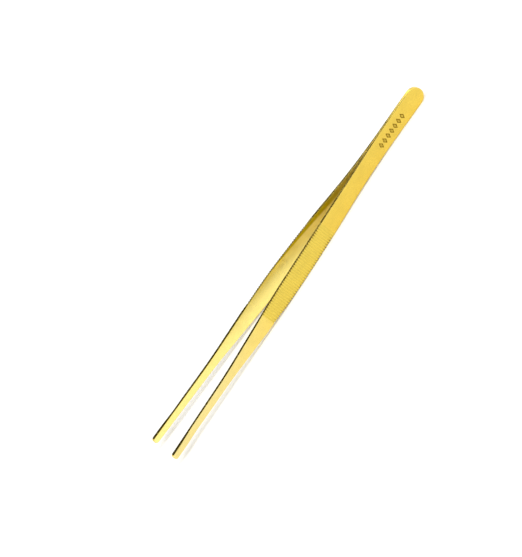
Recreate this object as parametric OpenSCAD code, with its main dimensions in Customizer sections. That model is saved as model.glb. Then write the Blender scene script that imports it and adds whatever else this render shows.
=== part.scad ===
// Stamp tongs: two sprung strips of plated steel, spot-welded face to face at the heel.
// X runs along the tongs, heel at +X and tips at -X. Y is the way they open, with the front
// strip at -Y, and Z runs across the strips. The tongs lie on the long edges of their strips,
// on the plane Z = 0. A place along a strip is its distance from the butt of the heel.
// Each strip is drawn in five stretches: the welded heel, the thin leaf that bends, and the
// stiff arm, which is the ribbed grip, the shank and the jaw.

/* [Length] */
// Length from the butt of the heel to the tips
length = 155; // [148:1:170]
// Length of the heel, where the two strips are welded together
heel_length = 15.5; // [12:0.5:18]
// Place where the spring leaf ends and the stiff arm begins
leaf_end = 52; // [46:1:56]
// Place where the jaw starts to thicken
jaw_start = 141; // [136:1:144]

/* [Width] */
// Width of the round butt
butt_width = 7.3; // [6:0.1:8]
// Width of the waist between the butt and the grip
waist_width = 6.6; // [5:0.1:7]
// Width of the strip at its widest, in the grip
grip_width = 7.5; // [7:0.1:9]
// Width of the shank where the taper behind it ends
shank_width = 3.3; // [2.5:0.1:4]
// Width of the rounded tip
tip_width = 2.3; // [1.5:0.1:2.5]

/* [Thickness] */
// Thickness of each strip in the heel
heel_thickness = 0.7; // [0.6:0.05:0.9]
// Thickness of each arm in its grip and shank
arm_thickness = 1.15; // [0.9:0.05:1.3]
// Thickness of each jaw at the tip
jaw_thickness = 1.65; // [1.3:0.05:1.8]

/* [Opening] */
// Angle at which each strip leaves the heel, in degrees
spread_angle = 6; // [5:0.25:7]
// Angle that is left between each jaw and the centre plane, in degrees
jaw_angle = 2; // [1:0.25:3]
// Place where the arm starts to bend back
bend_start = 54; // [52:1:58]
// Place where the arm is straight again
bend_end = 92; // [86:1:93]

/* [Grip] */
// Place where the ribs start
grip_start = 58.5; // [58:0.5:62]
// Number of grooves across each grip
groove_count = 41; // [39:1:44]
// Distance from one groove to the next
groove_pitch = 0.93; // [0.9:0.01:1]
// Width of each groove
groove_width = 0.5; // [0.3:0.01:0.6]
// Depth of each groove
groove_depth = 0.35; // [0.1:0.01:0.4]

/* [Welds] */
// Number of spot welds in the heel
weld_count = 2; // [1:1:2]
// Distance from the butt to the first weld
weld_start = 5; // [4:0.5:6]
// Distance between welds
weld_pitch = 6; // [5:0.5:7]
// Diameter of each weld nugget
weld_diameter = 2.6; // [2:0.1:3]
// Depth of each nugget into each strip
weld_depth = 0.45; // [0.2:0.05:0.5]

/* [Hidden] */

gold = [0.86, 0.69, 0.25];
steel = [0.62, 0.60, 0.56];

// Places along the strip where its width or thickness changes
waist_place = 38;
widest_place = 68;
taper_start = 79;
taper_end = 126;
shank_taper_start = 110;
jaw_blend = 10;

grip_end = grip_start + groove_count * groove_pitch;
butt_radius = butt_width / 2;
tip_radius = tip_width / 2;
mid_height = grip_width / 2;
spread_slope = tan(spread_angle);
jaw_slope = tan(jaw_angle);

// Stations on each curved stretch
leaf_steps = 16;
bend_steps = 16;
root_steps = 4;
jaw_steps = 8;
width_step = 2;
// Extra length of a cutting shape past the solid that it trims
margin = 1;

// 0 before one place and 1 after the other, with a straight rise between them
function rise(s, from, to) = min(1, max(0, (s - from) / (to - from)));

// The same with a smooth start and end
function ramp(s, from, to) =
    let (part = rise(s, from, to)) part * part * (3 - 2 * part);

// How far a line has turned aside when its slope grows evenly between two places
function bent(s, from, to, slope) =
    slope * (to - from) * (pow(rise(s, from, to), 2) / 2 + max(0, s - to) / (to - from));

// Inner face of the rear strip, from the centre plane
function inner_face(s) =
    bent(s, heel_length, leaf_end, spread_slope)
    - bent(s, bend_start, bend_end, spread_slope - jaw_slope);

function thickness(s) =
    heel_thickness
    + (arm_thickness - heel_thickness) * ramp(s, heel_length, grip_start)
    + (jaw_thickness - arm_thickness) * ramp(s, jaw_start, jaw_start + jaw_blend);

function outer_face(s) = inner_face(s) + thickness(s);

function width(s) =
    butt_width
    + (waist_width - butt_width) * ramp(s, butt_radius, waist_place)
    + (grip_width - waist_width) * ramp(s, waist_place, widest_place)
    - (grip_width - shank_width) * ramp(s, taper_start, taper_end)
    - (shank_width - tip_width) * rise(s, shank_taper_start, length - tip_radius);

// X coordinate of a place along the strip
function x_of(s) = length / 2 - s;

// Even stations between two places, both included
function stations(from, to, steps) = [for (i = [0 : steps]) from + (to - from) * i / steps];

function inner_points(places) = [for (s = places) [x_of(s), inner_face(s)]];
function outer_points(places) = [for (s = places) [x_of(s), outer_face(s)]];
function backwards(list) = [for (i = [len(list) - 1 : -1 : 0]) list[i]];

// Outer face of the grip: each groove is a V between two flat ribs
function grip_points() = [
    for (i = [0 : groove_count - 1], corner = [0, 1, 2])
        let (s = grip_start + i * groove_pitch + corner * groove_width / 2)
        [x_of(s), outer_face(s) - (corner == 1 ? groove_depth : 0)]
];

// Strip seen edge on, extruded across its width, between two lists of points
module side_block(inner, outer) {
    linear_extrude(height = grip_width)
        polygon(concat(inner, backwards(outer)));
}

// Strip seen face on, between two places, cut through the whole opening of the tongs
module face_block(from, to) {
    places = stations(from, to, ceil((to - from) / width_step));
    upper = [for (s = places) [x_of(s), mid_height + width(s) / 2]];
    lower = [for (s = places) [x_of(s), mid_height - width(s) / 2]];
    translate([0, outer_face(length) + margin, 0])
        rotate([90, 0, 0])
            linear_extrude(height = outer_face(length) + 2 * margin)
                polygon(concat(upper, backwards(lower)));
}

// Round end of a strip, as a cylinder across the whole opening of the tongs
module round_end(s, radius) {
    translate([x_of(s), outer_face(length) + margin, mid_height])
        rotate([90, 0, 0])
            cylinder(h = outer_face(length) + 2 * margin, r = radius, $fn = 96);
}

// One stretch of the rear strip, between two lists of points of its inner and outer faces
module stretch(from, to, inner, outer) {
    intersection() {
        side_block(inner, outer);
        face_block(from, to);
    }
}

module heel_strip() {
    ends = [0, heel_length];
    difference() {
        intersection() {
            side_block(inner_points(ends), outer_points(ends));
            union() {
                face_block(butt_radius, heel_length);
                round_end(butt_radius, butt_radius);
            }
        }
        weld_row();
    }
}

module spring_leaf() {
    places = stations(heel_length, leaf_end, leaf_steps);
    stretch(heel_length, leaf_end, inner_points(places), outer_points(places));
}

module grip() {
    bend = stations(bend_start, bend_end, bend_steps);
    root = stations(leaf_end, grip_start - groove_width, root_steps);
    stretch(
        leaf_end,
        grip_end,
        inner_points(concat([leaf_end], bend, [grip_end])),
        concat(outer_points(root), grip_points(), outer_points([grip_end]))
    );
}

module shank() {
    ends = [grip_end, jaw_start];
    stretch(grip_end, jaw_start, inner_points(ends), outer_points(ends));
}

module jaw() {
    swell = stations(jaw_start, jaw_start + jaw_blend, jaw_steps);
    intersection() {
        side_block(
            inner_points([jaw_start, length]),
            outer_points(concat(swell, [length]))
        );
        union() {
            face_block(jaw_start, length - tip_radius);
            round_end(length - tip_radius, tip_radius);
        }
    }
}

// Weld nuggets: discs of fused metal, half in each strip
module weld_row() {
    for (i = [0 : weld_count - 1])
        translate([x_of(weld_start + i * weld_pitch), weld_depth, mid_height])
            rotate([90, 0, 0])
                cylinder(h = 2 * weld_depth, r = weld_diameter / 2, $fn = 48);
}

// The front strip is the rear strip mirrored in the centre plane
module front() {
    mirror([0, 1, 0]) children();
}

module front_heel() { color(gold) front() heel_strip(); }
module rear_heel() { color(gold) heel_strip(); }
module heel_welds() { color(steel) weld_row(); }
module front_spring_leaf() { color(gold) front() spring_leaf(); }
module rear_spring_leaf() { color(gold) spring_leaf(); }
module front_grip() { color(gold) front() grip(); }
module rear_grip() { color(gold) grip(); }
module front_shank() { color(gold) front() shank(); }
module rear_shank() { color(gold) shank(); }
module front_jaw() { color(gold) front() jaw(); }
module rear_jaw() { color(gold) jaw(); }

front_heel();
rear_heel();
heel_welds();
front_spring_leaf();
rear_spring_leaf();
front_grip();
rear_grip();
front_shank();
rear_shank();
front_jaw();
rear_jaw();
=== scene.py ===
"""Looks for the stamp tongs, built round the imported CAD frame.

Each strip of the tongs is one continuous piece here, from the butt of the heel to the tip. It
bends between the heel's body and its arm's body. A place along a strip is its distance from the
butt, as in the CAD model. Lengths are in millimetres, and on the stage in metres.
"""
import math

import bmesh
import bpy
from mathutils import Matrix, Vector

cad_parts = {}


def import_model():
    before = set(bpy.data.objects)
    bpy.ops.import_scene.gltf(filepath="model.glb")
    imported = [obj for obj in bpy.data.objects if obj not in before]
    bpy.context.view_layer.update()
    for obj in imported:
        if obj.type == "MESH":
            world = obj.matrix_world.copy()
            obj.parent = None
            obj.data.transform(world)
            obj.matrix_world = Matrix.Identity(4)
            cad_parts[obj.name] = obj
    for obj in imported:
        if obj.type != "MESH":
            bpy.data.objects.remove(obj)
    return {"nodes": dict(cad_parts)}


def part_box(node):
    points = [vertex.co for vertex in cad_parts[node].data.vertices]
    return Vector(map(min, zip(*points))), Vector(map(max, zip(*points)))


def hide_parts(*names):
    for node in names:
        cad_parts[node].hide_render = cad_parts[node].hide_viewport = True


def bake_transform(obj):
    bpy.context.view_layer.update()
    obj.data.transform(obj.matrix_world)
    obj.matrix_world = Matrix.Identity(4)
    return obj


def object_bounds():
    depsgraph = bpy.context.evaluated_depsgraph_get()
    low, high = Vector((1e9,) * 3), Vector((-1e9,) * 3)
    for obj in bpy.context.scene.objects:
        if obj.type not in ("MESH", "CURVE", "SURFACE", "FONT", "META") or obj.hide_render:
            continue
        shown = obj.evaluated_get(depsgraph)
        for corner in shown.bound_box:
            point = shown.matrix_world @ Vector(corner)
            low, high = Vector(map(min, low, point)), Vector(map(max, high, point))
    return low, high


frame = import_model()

CAD_LOW, CAD_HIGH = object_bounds()
MM = 0.001


def corners(node):
    """Lowest and highest corner of a CAD node's box, in millimetres."""
    low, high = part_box(node)
    return low / MM, high / MM


# Sizes read from the frame
HEEL_LOW, HEEL_HIGH = corners("rear_heel")
GRIP_LOW, GRIP_HIGH = corners("rear_grip")
BUTT_X = HEEL_HIGH.x
BUTT_WIDTH = HEEL_HIGH.z - HEEL_LOW.z
GRIP_WIDTH = GRIP_HIGH.z - GRIP_LOW.z
HEEL_THICKNESS = HEEL_HIGH.y - HEEL_LOW.y
MID_HEIGHT = (GRIP_LOW.z + GRIP_HIGH.z) / 2


def end_of(node):
    """Place along the strip where a CAD node ends, on the side of the tip."""
    return BUTT_X - corners(node)[0].x


HEEL_LENGTH = end_of("rear_heel")
LEAF_END = end_of("rear_spring_leaf")
GRIP_END = end_of("rear_grip")
JAW_START = end_of("rear_shank")
LENGTH = end_of("rear_jaw")

# Widths and thicknesses, as in the CAD model
WAIST_WIDTH = 6.6
SHANK_WIDTH = 3.3
TIP_WIDTH = 2.3
ARM_THICKNESS = 1.15
JAW_THICKNESS = 1.65
JAW_BLEND = 10
BUTT_RADIUS = BUTT_WIDTH / 2
TIP_RADIUS = TIP_WIDTH / 2

# Places where the width changes, as in the CAD model
WAIST_PLACE = 38
WIDEST_PLACE = 68
TAPER_START = 79
TAPER_END = 126
SHANK_TAPER_START = 110

# Slope of the inner face after the leaf and at the jaw, and where the strip bows back
SPREAD_SLOPE = math.tan(math.radians(6))
JAW_SLOPE = math.tan(math.radians(2))
BEND_START = 54
BEND_END = 92

# Grooves across the grip. They run out into notches in the long edges, which deepen over the
# first few grooves.
GROOVE_COUNT = 41
GROOVE_PITCH = 0.93
GROOVE_WIDTH = 0.75
GROOVE_DEPTH = 0.14
NOTCH_DEPTH = 0.8
NOTCH_REACH = 0.5
NOTCH_FADE = 5
GRIP_START = GRIP_END - GROOVE_COUNT * GROOVE_PITCH

# Rounding of the long edges, how it fades after the ribs, and the largest share of a half width
# that it takes
INNER_ROUND = 0.04
HEEL_ROUND = 0.1
RIB_ROUND = 0.36
ARM_ROUND = 0.04
JAW_ROUND = 0.4
RIB_ROUND_FADE = 5 * GROOVE_PITCH
LARGEST_ROUND = 0.8

# How far the middle of the outer face stands out from its edges
CROWN = 0.03

# Mesh spacing. Hold is how far beside a rounding the edge loops lie that keep it tight.
PLAIN_STEP = 0.6
GROOVE_STATIONS = 8
END_STATIONS = 14
INNER_ARC = 3
OUTER_ARC = 8
OUTER_STEPS = 3
HOLD = 0.03
SAME_POINT = 0.0001
SHARP_ANGLE = math.radians(40)

# Which surface a point is on. Between two surfaces the value blends from one to the other: the
# inner face has faded out at OFF_INNER_FACE, and the outer face begins at ON_OUTER_FACE.
INNER_FACE, LONG_EDGE, OUTER_FACE = 0.0, 0.5, 1.0
OFF_INNER_FACE = 0.8 * LONG_EDGE
ON_OUTER_FACE = 0.99 * OUTER_FACE


# Outline of a strip

def rise(s, start, end):
    """0 before start and 1 after end, with a straight rise between them."""
    return min(1.0, max(0.0, (s - start) / (end - start)))


def ramp(s, start, end):
    """The same with a smooth start and end."""
    part = rise(s, start, end)
    return part * part * (3 - 2 * part)


def bent(s, start, end, slope):
    """How far a line has turned aside when its slope grows evenly from start to end."""
    return slope * (end - start) * (rise(s, start, end) ** 2 / 2 + max(0.0, s - end) / (end - start))


def inner_face(s):
    """Distance of the inner face from the centre plane."""
    turned_out = bent(s, HEEL_LENGTH, LEAF_END, SPREAD_SLOPE)
    turned_back = bent(s, BEND_START, BEND_END, SPREAD_SLOPE - JAW_SLOPE)
    return turned_out - turned_back


def thickness(s):
    arm = (ARM_THICKNESS - HEEL_THICKNESS) * ramp(s, HEEL_LENGTH, GRIP_START)
    jaw = (JAW_THICKNESS - ARM_THICKNESS) * ramp(s, JAW_START, JAW_START + JAW_BLEND)
    return HEEL_THICKNESS + arm + jaw


def width(s):
    to_waist = (WAIST_WIDTH - BUTT_WIDTH) * ramp(s, BUTT_RADIUS, WAIST_PLACE)
    to_grip = (GRIP_WIDTH - WAIST_WIDTH) * ramp(s, WAIST_PLACE, WIDEST_PLACE)
    to_shank = (GRIP_WIDTH - SHANK_WIDTH) * ramp(s, TAPER_START, TAPER_END)
    to_tip = (SHANK_WIDTH - TIP_WIDTH) * rise(s, SHANK_TAPER_START, LENGTH - TIP_RADIUS)
    return BUTT_WIDTH + to_waist + to_grip - to_shank - to_tip


def outer_round(s):
    """Radius of the long outer edges: soft on the ribs and at the tip, crisp elsewhere."""
    ribs = (RIB_ROUND - HEEL_ROUND) * ramp(s, LEAF_END, WIDEST_PLACE)
    shank = (RIB_ROUND - ARM_ROUND) * ramp(s, GRIP_END - GROOVE_PITCH, GRIP_END + RIB_ROUND_FADE)
    jaw = (JAW_ROUND - ARM_ROUND) * ramp(s, JAW_START - JAW_BLEND, LENGTH)
    return HEEL_ROUND + ribs - shank + jaw


def groove(s, inward):
    """Depth of the grip's grooves at a place and a distance in from the long edge: a row of
    rounded valleys that run out into notches."""
    if not GRIP_START < s < GRIP_END:
        return 0.0
    across = (s - GRIP_START) % GROOVE_PITCH
    if across > GROOVE_WIDTH:
        return 0.0
    notch = (NOTCH_DEPTH - GROOVE_DEPTH) * ramp(s, GRIP_START, GRIP_START + NOTCH_FADE)
    deepest = GROOVE_DEPTH + notch * (1 - ramp(inward, 0, NOTCH_REACH))
    return deepest * (0.5 - 0.5 * math.cos(2 * math.pi * across / GROOVE_WIDTH))


# Mesh of a strip

def even(start, end, count):
    """Values from start to end in count equal steps."""
    return [start + (end - start) * i / count for i in range(count + 1)]


def stations():
    """Each cross-section as (outline place, outline height, inward x, inward z, reach).

    The outline is the upper half of the strip seen face on. Inward is the way from the outline
    to the middle of the strip, and reach is how far that is: straight across along the strip,
    and to the centre of the arc at each round end."""
    found = []
    for angle in even(0, math.pi / 2, END_STATIONS)[:-1]:
        along, up = math.cos(angle), math.sin(angle)
        found.append((BUTT_RADIUS * (1 - along), BUTT_RADIUS * up, along, -up, BUTT_RADIUS))
    before = even(BUTT_RADIUS, GRIP_START, round((GRIP_START - BUTT_RADIUS) / PLAIN_STEP))
    grip = even(GRIP_START, GRIP_END, GROOVE_COUNT * GROOVE_STATIONS)
    tip_centre = LENGTH - TIP_RADIUS
    after = even(GRIP_END, tip_centre, round((tip_centre - GRIP_END) / PLAIN_STEP))
    for s in before[:-1] + grip[:-1] + after[:-1]:
        half = width(s) / 2
        found.append((s, half, 0.0, -1.0, half))
    for angle in even(math.pi / 2, 0, END_STATIONS):
        along, up = math.cos(angle), math.sin(angle)
        found.append((tip_centre + TIP_RADIUS * along, TIP_RADIUS * up, -along, -up, TIP_RADIUS))
    return found


def half_section(s, reach):
    """Upper half of a cross-section, from the middle of the inner face round to the middle of
    the outer face, as (distance in from the outline, distance out from the centre plane,
    surface)."""
    inner = inner_face(s)
    outer = inner + thickness(s)
    radius = min(outer_round(s), LARGEST_ROUND * reach)
    points = [(inward, inner, INNER_FACE)
              for inward in (reach, (reach + INNER_ROUND) / 2, INNER_ROUND + HOLD)]
    for angle in even(0, math.pi / 2, INNER_ARC):
        inward = INNER_ROUND * (1 - math.sin(angle))
        points.append((inward, inner + INNER_ROUND * (1 - math.cos(angle)), INNER_FACE))
    points.append((0.0, inner + INNER_ROUND + HOLD, LONG_EDGE))
    points.append((0.0, outer - radius - HOLD, LONG_EDGE))
    for angle in even(0, math.pi / 2, OUTER_ARC):
        inward = radius * (1 - math.cos(angle))
        points.append((inward, outer - radius * (1 - math.sin(angle)), OUTER_FACE))
    points.append((radius + HOLD, outer, OUTER_FACE))
    for inward in even(radius, reach, OUTER_STEPS)[1:]:
        points.append((inward, outer, OUTER_FACE))

    shaped = []
    for inward, y, surface in points:
        if surface == OUTER_FACE:
            y -= CROWN * (1 - inward / reach) ** 2
        shaped.append((inward, min(y, outer - groove(s, inward)), surface))
    return shaped


def strip(side):
    """One strip as a closed mesh. side is 1 for the rear strip and -1 for the front one.

    Each vertex keeps where it is on the strip, for the materials: its place, its height and its
    distance from the long edge in "where", and its surface and the depth of its groove, as a
    share of the deepest notch, in "form"."""
    mesh = bmesh.new()
    where = mesh.verts.layers.float_vector.new("where")
    form = mesh.verts.layers.float_vector.new("form")
    loops = []
    for place, height, inward_x, inward_z, reach in stations():
        loop = []
        upper = half_section(place, reach)
        lower = upper[-2:0:-1]
        for sign, points in ((1, upper), (-1, lower)):
            for inward, y, surface in points:
                s = place + inward_x * inward
                z = sign * (height + inward_z * inward)
                vertex = mesh.verts.new(Vector((BUTT_X - s, side * y, MID_HEIGHT + z)) * MM)
                vertex[where] = (s, z, inward)
                vertex[form] = (surface, groove(s, inward) / NOTCH_DEPTH * surface, 0)
                loop.append(vertex)
        loops.append(loop)
    for a, b in zip(loops, loops[1:]):
        for i in range(len(a)):
            j = (i + 1) % len(a)
            mesh.faces.new((a[i], a[j], b[j], b[i]))
    bmesh.ops.remove_doubles(mesh, verts=mesh.verts, dist=SAME_POINT * MM)
    bmesh.ops.recalc_face_normals(mesh, faces=mesh.faces)
    return mesh


def to_object(name, mesh, material):
    """A scene object from a bmesh, smooth but for its sharp corners."""
    for edge in mesh.edges:
        edge.smooth = edge.is_manifold and edge.calc_face_angle(0) < SHARP_ANGLE
    for face in mesh.faces:
        face.smooth = True
    data = bpy.data.meshes.new(name)
    mesh.to_mesh(data)
    mesh.free()
    data.materials.append(material)
    piece = bpy.data.objects.new(name, data)
    bpy.context.scene.collection.objects.link(piece)
    return piece


# Materials

# Middle value of a noise, and the range in which most of its values lie
NOISE_MIDDLE = 0.5
NOISE_LOW, NOISE_HIGH = 0.3, 0.7


class Shading:
    """A Principled material with short calls for the nodes that lead into it. A value is a
    number, a colour or the output of another node."""

    def __init__(self, name):
        self.material = bpy.data.materials.new(name)
        self.material.use_nodes = True
        self.tree = self.material.node_tree
        self.shader = self.tree.nodes["Principled BSDF"]

    def feed(self, socket, value):
        if isinstance(value, bpy.types.NodeSocket):
            self.tree.links.new(value, socket)
        elif isinstance(value, tuple):
            socket.default_value = (*value, 1)
        else:
            socket.default_value = value

    def finish(self, **values):
        """Feed the shader's own sockets and hand over the material."""
        for name, value in values.items():
            self.feed(self.shader.inputs[name.replace("_", " ")], value)
        return self.material

    def node(self, kind, **values):
        made = self.tree.nodes.new(kind)
        for name, value in values.items():
            self.feed(made.inputs[name.replace("_", " ")], value)
        return made

    def math(self, operation, first, second=0.0):
        made = self.tree.nodes.new("ShaderNodeMath")
        made.operation = operation
        self.feed(made.inputs[0], first)
        self.feed(made.inputs[1], second)
        return made.outputs[0]

    def plus(self, first, second):
        return self.math("ADD", first, second)

    def minus(self, first, second):
        return self.math("SUBTRACT", first, second)

    def times(self, first, second):
        return self.math("MULTIPLY", first, second)

    def over(self, first, second):
        return self.math("DIVIDE", first, second)

    def between(self, value, low, high):
        """1 between low and high, and 0 elsewhere."""
        return self.times(self.math("GREATER_THAN", value, low), self.math("LESS_THAN", value, high))

    def off(self, value, centre):
        """Distance of a value from a centre."""
        return self.math("ABSOLUTE", self.minus(value, centre))

    def spread(self, value, low, high, to_low=0.0, to_high=1.0):
        """Carry values between low and high over to the range between to_low and to_high."""
        made = self.node("ShaderNodeMapRange", Value=value, From_Min=low, From_Max=high,
                         To_Min=to_low, To_Max=to_high)
        return made.outputs[0]

    def vary(self, noise, to_low, to_high):
        """Spread the usual range of a noise."""
        return self.spread(noise, NOISE_LOW, NOISE_HIGH, to_low, to_high)

    def parts(self, attribute):
        source = self.tree.nodes.new("ShaderNodeAttribute")
        source.attribute_name = attribute
        return self.node("ShaderNodeSeparateXYZ", Vector=source.outputs["Vector"]).outputs

    def point(self, x, y, z):
        return self.node("ShaderNodeCombineXYZ", X=x, Y=y, Z=z).outputs[0]

    def noise(self, at, scale, detail):
        return self.node("ShaderNodeTexNoise", Vector=at, Scale=scale, Detail=detail).outputs["Fac"]

    def ramp(self, value, stops):
        made = self.node("ShaderNodeValToRGB", Fac=value)
        elements = made.color_ramp.elements
        while len(elements) < len(stops):
            elements.new(1.0)
        for element, (position, colour) in zip(elements, stops):
            element.position = position
            element.color = (*colour, 1)
        return made.outputs["Color"]

    def mix(self, amount, first, second, blend="MIX"):
        made = self.tree.nodes.new("ShaderNodeMix")
        made.data_type = "RGBA"
        made.blend_type = blend
        sockets = {socket.name: socket for socket in made.inputs if socket.enabled}
        self.feed(sockets["Factor"], amount)
        self.feed(sockets["A"], first)
        self.feed(sockets["B"], second)
        return next(output for output in made.outputs if output.enabled)

    def bump(self, height, rise_mm, strength, below=None):
        made = self.node("ShaderNodeBump", Height=height, Distance=rise_mm * MM, Strength=strength)
        if below:
            self.feed(made.inputs["Normal"], below)
        return made.outputs[0]


# Colours of the plating
DEEP_GOLD = (0.76, 0.55, 0.09)
SATIN_GOLD = (0.74, 0.565, 0.095)
# The bright and pale golds towards the tip are painted reflection, standing in for the brighter
# light the shank and tip reflect. The pale gold also paints the worn edges.
BRIGHT_GOLD = (0.84, 0.64, 0.155)
PALE_GOLD = (0.82, 0.675, 0.26)
# Inner faces: painted light, a lighter copy of the plating that makes up for the shade in the gap
# between the strips.
INNER_GOLD = (0.99, 0.84, 0.29)
EDGE_GOLD = (0.78, 0.56, 0.06)
# Painted shade: the dark band along the edges of the inner faces
SHADE_BAND_GOLD = (0.58, 0.46, 0.01)
ETCHED_BROWN = (0.24, 0.15, 0.01)
# Painted shade in the notches
NOTCH_SHADE = (0.15, 0.10, 0.01)

# Length over which the plating turns satin at each end of the ribs
SATIN_STEP = 0.3

# Painted shade along the edges of the inner faces, a darker band that stands in for the shaded gap
# between the strips reflected there: where it begins, narrows and ends, its widths, and the shares
# of its width between which it fades
SHADE_BAND_START = 26
SHADE_BAND_NARROWS = 48
SHADE_BAND_END = 82
SHADE_BAND_WIDTH = 2.2
SHADE_BAND_END_WIDTH = 0.1
SHADE_BAND_FADE = (0.75, 1.15)

# Place from which the inner faces are better and better polished, until the band of painted shade
# ends
POLISH_START = 60

# Noises of the surface, in waves per millimetre. A squash draws them out along the strip.
STREAKS_PER_MM = 9.0
STREAK_SQUASH = 0.06
SMUDGES_PER_MM = 0.28
SCRATCHES_PER_MM = 5.0
SCRATCH_SQUASH = 0.11

# Relief of the streaks, slant of the scratches, how far from its middle value their noise makes
# a scratch, and the values of a noise between which a smudge grows rough
STREAK_DEPTH = 0.03
STREAK_STRENGTH = 0.4
SCRATCH_SLANT = 0.07
SCRATCH_WIDTH = 0.012
SMUDGE_RANGE = (0.35, 0.75)

# How much streaks and smudges darken and lighten the plating
STREAK_TONE = (0.92, 1.04)
SMUDGE_TONE = (0.95, 1.03)

# Painted shade in the notches: the shares of the deepest notch at which it begins and is full
NOTCH_SHADE_RANGE = (0.1, 0.55)
NOTCH_SHADE_AMOUNT = 0.85

# Worn edges: how wide they are and how much paler
WORN_WIDTH = 0.35
WORN_AMOUNT = 0.35

# Roughness between the streaks and on them, and what each feature adds to it
STREAK_ROUGHNESS = (0.12, 0.20)
SMUDGE_ROUGHNESS = 0.12
SCRATCH_ROUGHNESS = 0.12
SATIN_ROUGHNESS = 0.14
UNPOLISHED_ROUGHNESS = 0.45
SHADE_BAND_ROUGHNESS = -0.15
ETCHED_ROUGHNESS = 0.3

# Etched row of lozenges on the heel. The hollow and the dot are shares of a lozenge's size.
ETCH_START = 10.4
ETCH_COUNT = 7
ETCH_PITCH = 2.1
ETCH_DEPTH = 0.01
ETCH_BLUR = 0.03
LOZENGE_LENGTH = 1.66
LOZENGE_HEIGHT = 2.9
HOLLOW_SIZE = 0.47
DOT_SIZE = 0.23


def etched_row(shading, s, height, outside):
    """1 on a row of hollow lozenges with a dot in each, and 0 elsewhere."""
    along = shading.minus(s, ETCH_START)
    nearest = shading.plus(shading.math("FLOOR", shading.over(along, ETCH_PITCH)), 0.5)
    offset = shading.off(along, shading.times(nearest, ETCH_PITCH))
    lengthwise = shading.over(offset, LOZENGE_LENGTH / 2)
    crosswise = shading.over(shading.off(height, 0.0), LOZENGE_HEIGHT / 2)
    reach = shading.plus(lengthwise, crosswise)
    lozenge, hollow, dot = [shading.spread(reach, size - ETCH_BLUR, size + ETCH_BLUR, 1.0, 0.0)
                            for size in (1, HOLLOW_SIZE, DOT_SIZE)]
    mark = shading.plus(shading.minus(lozenge, hollow), dot)
    in_row = shading.between(along, 0.0, ETCH_COUNT * ETCH_PITCH)
    on_outer_face = shading.math("GREATER_THAN", outside, ON_OUTER_FACE)
    return shading.times(shading.times(mark, in_row), on_outer_face)


def outer_colour(shading, s):
    """Deep gold on the heel and the leaf, satin on the ribs, and paler towards the tip. The paling
    towards the tip is painted reflection, standing in for the brighter light that the shank and tip
    reflect.
    """
    stops = [
        (0, DEEP_GOLD),
        (GRIP_START, DEEP_GOLD),
        (GRIP_START + SATIN_STEP, SATIN_GOLD),
        (GRIP_END - SATIN_STEP, SATIN_GOLD),
        (GRIP_END, BRIGHT_GOLD),
        (TAPER_END, PALE_GOLD),
    ]
    return shading.ramp(shading.over(s, LENGTH), [(place / LENGTH, gold) for place, gold in stops])


def painted_shade_band(shading, s, from_edge, inside):
    """1 on the band of painted shade along the edges of the inner face near the bend."""
    border = shading.spread(s, SHADE_BAND_NARROWS, SHADE_BAND_END, SHADE_BAND_WIDTH, SHADE_BAND_END_WIDTH)
    across = shading.spread(shading.over(from_edge, border), *SHADE_BAND_FADE, 1.0, 0.0)
    along = shading.spread(s, SHADE_BAND_START, LEAF_END)
    return shading.times(shading.times(inside, across), along)


def fine_scratches(shading, s, height, outside):
    """1 on hairlines that run nearly along the strip, where a noise crosses its middle value."""
    slanted = shading.plus(height, shading.times(s, SCRATCH_SLANT))
    at = shading.point(shading.times(s, SCRATCH_SQUASH), slanted, outside)
    crossing = shading.off(shading.noise(at, SCRATCHES_PER_MM, detail=1), NOISE_MIDDLE)
    return shading.spread(crossing, 0.0, SCRATCH_WIDTH, 1.0, 0.0)


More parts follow.
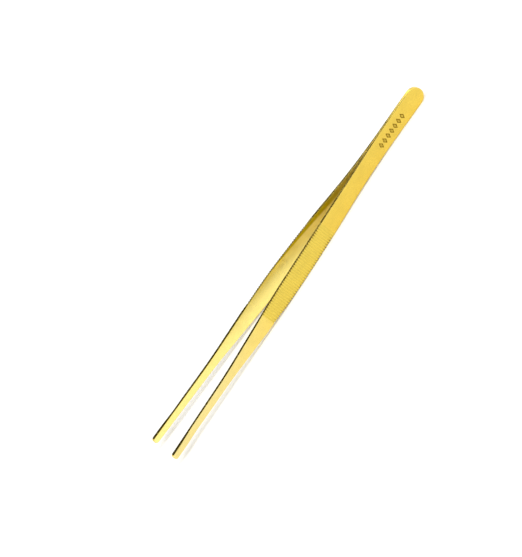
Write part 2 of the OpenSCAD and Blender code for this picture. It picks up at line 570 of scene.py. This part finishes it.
def gold_plate(name, etched):
    """Polished gold plating with polishing lines along the strip, fine scratches, smudges and worn
    edges,
    and painted light: painted shade in the notches and in a band along the edges of the inner faces,
    painted reflection that pales it towards the tip, and inner faces painted lighter than the outer
    ones."""
    shading = Shading(name)
    s, height, from_edge = shading.parts("where")
    outside, depth, _ = shading.parts("form")
    inside = shading.spread(outside, INNER_FACE, OFF_INNER_FACE, 1.0, 0.0)
    shade_band = painted_shade_band(shading, s, from_edge, inside)
    streaks_at = shading.point(shading.times(s, STREAK_SQUASH), height, outside)
    streaks = shading.noise(streaks_at, STREAKS_PER_MM, detail=4)
    smudges = shading.noise(shading.point(s, height, outside), SMUDGES_PER_MM, detail=3)
    scratches = fine_scratches(shading, s, height, outside)

    # The band of painted shade darkens the inner faces near their long edges.
    inner_colour = shading.mix(shade_band, INNER_GOLD, SHADE_BAND_GOLD)
    colour = shading.mix(outside, inner_colour, outer_colour(shading, s))
    on_long_edge = shading.spread(shading.off(outside, LONG_EDGE), 0.0, LONG_EDGE, 1.0, 0.0)
    colour = shading.mix(on_long_edge, colour, EDGE_GOLD)
    tone = shading.times(shading.vary(streaks, *STREAK_TONE), shading.vary(smudges, *SMUDGE_TONE))
    colour = shading.mix(1.0, colour, shading.point(tone, tone, tone), "MULTIPLY")
    # Painted shade: the notches are darkened where they are deep.
    notch_shade = shading.spread(depth, *NOTCH_SHADE_RANGE, 0.0, NOTCH_SHADE_AMOUNT)
    colour = shading.mix(notch_shade, colour, NOTCH_SHADE)
    worn = shading.spread(from_edge, 0.0, WORN_WIDTH, WORN_AMOUNT, 0.0)
    colour = shading.mix(shading.times(worn, streaks), colour, PALE_GOLD)

    roughness = shading.vary(streaks, *STREAK_ROUGHNESS)
    on_ribs = shading.times(shading.between(s, GRIP_START, GRIP_END), outside)
    unpolished = shading.spread(s, POLISH_START, SHADE_BAND_END, UNPOLISHED_ROUGHNESS, 0.0)
    for added in (
        shading.spread(smudges, *SMUDGE_RANGE, 0.0, SMUDGE_ROUGHNESS),
        shading.times(scratches, SCRATCH_ROUGHNESS),
        shading.times(inside, unpolished),
        shading.times(shade_band, SHADE_BAND_ROUGHNESS),
        shading.times(on_ribs, SATIN_ROUGHNESS),
    ):
        roughness = shading.plus(roughness, added)

    normal = shading.bump(streaks, STREAK_DEPTH, STREAK_STRENGTH)
    if etched:
        mark = etched_row(shading, s, height, outside)
        colour = shading.mix(mark, colour, ETCHED_BROWN)
        roughness = shading.plus(roughness, shading.times(mark, ETCHED_ROUGHNESS))
        normal = shading.bump(mark, -ETCH_DEPTH, 1.0, normal)
    return shading.finish(Base_Color=colour, Roughness=roughness, Normal=normal, Metallic=1.0)


# Colours and roughness of the weld nuggets, the relief of their ripples, and the grain of their
# surface in waves per metre
WELD_BROWN = (0.30, 0.27, 0.24)
WELD_GREY = (0.48, 0.45, 0.42)
WELD_STRAW = (0.55, 0.46, 0.33)
WELD_ROUGHNESS = (0.32, 0.58)
WELD_RIPPLE = 0.05
WELD_STRENGTH = 0.6
WELD_GRAIN = 1800


def weld_metal():
    """Fused steel: mottled grey with brown and straw heat tints, and a rippled surface."""
    shading = Shading("weld_metal")
    at = shading.tree.nodes.new("ShaderNodeTexCoord").outputs["Object"]
    mottle = shading.noise(at, WELD_GRAIN, detail=4)
    tints = [(NOISE_LOW, WELD_BROWN), (NOISE_MIDDLE, WELD_GREY), (NOISE_HIGH, WELD_STRAW)]
    colour = shading.ramp(mottle, tints)
    roughness = shading.vary(mottle, *WELD_ROUGHNESS)
    normal = shading.bump(mottle, WELD_RIPPLE, WELD_STRENGTH)
    return shading.finish(Base_Color=colour, Roughness=roughness, Normal=normal, Metallic=1.0)


# Strips

STRETCHES = ("heel", "spring_leaf", "grip", "shank", "jaw")

for word, side in (("front", -1), ("rear", 1)):
    plate = gold_plate(f"{word}_gold_plate", etched=word == "front")
    piece = to_object(f"{word}_strip", strip(side), plate)
    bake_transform(piece)
    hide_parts(*[f"{word}_{stretch}" for stretch in STRETCHES])


# Weld nuggets, which are shown as the CAD made them

welds = frame["nodes"]["heel_welds"]
welds.data.materials.clear()
welds.data.materials.append(weld_metal())


# Stage, in metres

FLOOR_HALF = 12
PAPER_WHITE = (0.95, 0.95, 0.95)
PAPER_ROUGHNESS = 0.7

# Brightness of the studio and of its dark canopy, which way the canopy lies, and the cosines of
# the angles at which it begins and is fully dark
SKY = 1.2
SHADE = 0.06
CANOPY_TILT = math.radians(46)
CANOPY = (0.0, math.sin(CANOPY_TILT), math.cos(CANOPY_TILT))
CANOPY_BEGINS = 0.74
CANOPY_DARK = 0.88


def floor():
    data = bpy.data.meshes.new("floor")
    half = FLOOR_HALF
    corner_points = [(-half, -half, 0), (half, -half, 0), (half, half, 0), (-half, half, 0)]
    data.from_pydata(corner_points, [], [(0, 1, 2, 3)])
    piece = bpy.data.objects.new("floor", data)
    bpy.context.scene.collection.objects.link(piece)
    paper = Shading("paper")
    data.materials.append(paper.finish(Base_Color=PAPER_WHITE, Roughness=PAPER_ROUGHNESS))


def area_light(name, place, target, size, radiance):
    data = bpy.data.lights.new(name, "AREA")
    data.shape = "RECTANGLE"
    data.size, data.size_y = size
    data.energy = radiance * math.pi * size[0] * size[1]
    light = bpy.data.objects.new(name, data)
    light.location = place
    light.rotation_euler = (Vector(target) - Vector(place)).to_track_quat("-Z", "Y").to_euler()
    bpy.context.scene.collection.objects.link(light)


def panels():
    """A panel at each end lights the floor, and a smaller one behind brightens the butt."""
    for name, x in (("left_panel", -0.55), ("right_panel", 0.55)):
        area_light(name, place=(x, -0.10, 0.60), target=(0, 0, 0), size=(0.40, 0.40), radiance=3.0)
    area_light("heel_panel", place=(0.207, 0.42, 0.30), target=(0.07, 0, 0), size=(0.22, 0.16),
               radiance=2.7)


def world():
    """A bright studio all round, with a dark canopy above and behind the tongs."""
    surroundings = bpy.data.worlds.new("studio")
    bpy.context.scene.world = surroundings
    surroundings.use_nodes = True
    nodes, links = surroundings.node_tree.nodes, surroundings.node_tree.links
    background = nodes["Background"]
    background.inputs["Color"].default_value = (1, 1, 1, 1)
    direction = nodes.new("ShaderNodeTexCoord")
    toward = nodes.new("ShaderNodeVectorMath")
    toward.operation = "DOT_PRODUCT"
    toward.inputs[1].default_value = CANOPY
    shade = nodes.new("ShaderNodeMapRange")
    shade.interpolation_type = "SMOOTHSTEP"
    shade.inputs["From Min"].default_value = CANOPY_BEGINS
    shade.inputs["From Max"].default_value = CANOPY_DARK
    shade.inputs["To Min"].default_value = SKY
    shade.inputs["To Max"].default_value = SHADE
    links.new(direction.outputs["Generated"], toward.inputs[0])
    links.new(toward.outputs["Value"], shade.inputs["Value"])
    links.new(shade.outputs["Result"], background.inputs["Strength"])


def camera():
    """The camera looks from the front and above. It is rolled so that the heel points up and to
    the right, and the middle of the tongs lies a little off the centre of the picture."""
    elevation = math.radians(35)
    roll = math.radians(54.67)
    distance = 1.3535
    right_of_centre, above_centre = 0.01082, 0.00321
    along = Vector((1, 0, 0))
    up = Vector((0, math.sin(elevation), math.cos(elevation)))
    back = Vector((0, -math.cos(elevation), math.sin(elevation)))
    rolled_right = along * math.cos(roll) - up * math.sin(roll)
    rolled_up = along * math.sin(roll) + up * math.cos(roll)
    middle = (CAD_LOW + CAD_HIGH) / 2
    aim = middle - rolled_right * right_of_centre - rolled_up * above_centre
    data = bpy.data.cameras.new("camera")
    data.lens = 250
    data.sensor_width = 36
    data.clip_start = 0.01
    piece = bpy.data.objects.new("camera", data)
    turned = Matrix((rolled_right, rolled_up, back)).transposed().to_4x4()
    piece.matrix_world = Matrix.Translation(aim + back * distance) @ turned
    bpy.context.scene.collection.objects.link(piece)
    bpy.context.scene.camera = piece


floor()
world()
panels()
camera()
bpy.context.scene.view_settings.view_transform = "Standard"
